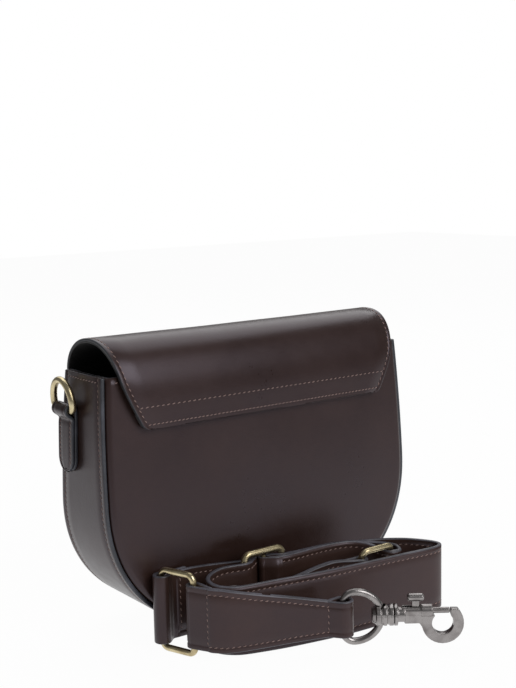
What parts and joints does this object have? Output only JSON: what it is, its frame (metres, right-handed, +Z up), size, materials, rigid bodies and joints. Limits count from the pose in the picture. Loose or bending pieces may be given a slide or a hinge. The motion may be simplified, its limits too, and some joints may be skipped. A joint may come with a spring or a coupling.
{
  "type": "handbag",
  "caption": "Small structured leather saddle handbag with a rounded base, straight-edged flap, side D-rings and a detached shoulder strap with swivel bolt hooks coiled in front.",
  "frame": {"origin": "on the ground under the middle of the bag's base", "axes": "+X to the bag's right side seen from the front, the front faces -Y, +Z up"},
  "size_m": [0.2392, 0.1781, 0.1778],
  "materials": {
    "leather": "satin",
    "leather_lining": "matt",
    "antique_brass": "polished",
    "antique_nickel": "polished",
    "spring_steel": "satin"
  },
  "bodies": {
    "bag": {"front_panel": "leather", "front_lining": "leather_lining", "back_panel": "leather", "back_lining": "leather_lining", "gusset": "leather", "gusset_lining": "leather_lining", "snap_socket": "antique_brass", "left_tab": "leather", "right_tab": "leather"},
    "flap": {"flap": "leather", "flap_lining": "leather_lining", "flap_strip": "leather", "snap_stud": "antique_brass"},
    "left_ring": {"left_d_ring": "antique_brass"},
    "right_ring": {"right_d_ring": "antique_brass"},
    "strap": {"strap": "leather", "slider_frame": "antique_brass", "slider_bar": "antique_brass", "loop_ring": "antique_brass", "loop_connector": "leather", "loop_d_ring": "antique_nickel"},
    "end_ring": {"end_ring": "antique_brass"},
    "end_connector": {"end_connector": "leather"},
    "end_d_ring": {"end_d_ring": "antique_nickel"},
    "end_hook_eye": {"end_hook_eye": "antique_nickel"},
    "end_hook_body": {"end_hook_body": "antique_nickel", "end_hook_spring": "spring_steel"},
    "end_hook_bolt": {"end_hook_bolt": "antique_nickel"},
    "loop_hook_eye": {"loop_hook_eye": "antique_nickel"},
    "loop_hook_body": {"loop_hook_body": "antique_nickel", "loop_hook_spring": "spring_steel"},
    "loop_hook_bolt": {"loop_hook_bolt": "antique_nickel"}
  },
  "joints": [
    {"name": "flap_hinge", "type": "hinge", "parent": "bag", "child": "flap", "pos_m": [0, 0.0241, 0.15815], "axis": [-1, 0, 0], "range_deg": [0, 150]},
    {"name": "left_ring_hinge", "type": "hinge", "parent": "bag", "child": "left_ring", "pos_m": [-0.11557, 0.0125, 0.1365], "axis": [0, -1, 0], "range_deg": [0, 155]},
    {"name": "right_ring_hinge", "type": "hinge", "parent": "bag", "child": "right_ring", "pos_m": [0.11557, 0.0125, 0.1365], "axis": [0, 1, 0], "range_deg": [0, 155]},
    {"name": "strap_lift_off", "type": "slide", "parent": "bag", "child": "strap", "axis": [0, 0, 1], "range_m": [0, 0.25]},
    {"name": "end_ring_hinge", "type": "hinge", "parent": "strap", "child": "end_ring", "pos_m": [-0.085, -0.038, 0.0248], "axis": [0, 0, 1], "range_deg": [-20, 2]},
    {"name": "end_connector_hinge", "type": "hinge", "parent": "end_ring", "child": "end_connector", "pos_m": [-0.0773, -0.05914, 0.0248], "axis": [0, 0, 1], "range_deg": [-40, 2]},
    {"name": "end_d_ring_hinge", "type": "hinge", "parent": "end_connector", "child": "end_d_ring", "pos_m": [-0.0068, -0.1043, 0.02], "axis": [0, 0, 1], "range_deg": [-60, 20]},
    {"name": "end_hook_swing", "type": "hinge", "parent": "end_d_ring", "child": "end_hook_eye", "pos_m": [0.01196, -0.11579, 0.0203], "axis": [0, 0, 1], "range_deg": [-25, 20]},
    {"name": "end_hook_swivel", "type": "hinge", "parent": "end_hook_eye", "child": "end_hook_body", "pos_m": [0.01196, -0.11579, 0.0203], "axis": [0.809, -0.5878, 0], "continuous": true},
    {"name": "end_bolt_slide", "type": "slide", "parent": "end_hook_body", "child": "end_hook_bolt", "axis": [-0.809, 0.5878, 0], "range_m": [0, 0.005], "stiffness_N_per_m": 150, "springref_m": -0.004, "deforming": ["end_hook_spring"]},
    {"name": "loop_hook_swing", "type": "hinge", "parent": "strap", "child": "loop_hook_eye", "pos_m": [-0.03652, -0.06082, 0.0203], "axis": [0, 0, 1], "range_deg": [-0.5, 2]},
    {"name": "loop_hook_swivel", "type": "hinge", "parent": "loop_hook_eye", "child": "loop_hook_body", "pos_m": [-0.03652, -0.06082, 0.0203], "axis": [0.9962, -0.0872, 0], "range_deg": [-1, 6]},
    {"name": "loop_bolt_slide", "type": "slide", "parent": "loop_hook_body", "child": "loop_hook_bolt", "axis": [-0.9962, 0.0872, 0], "range_m": [0, 0.005], "stiffness_N_per_m": 150, "springref_m": -0.004, "deforming": ["loop_hook_spring"]}
  ]
}
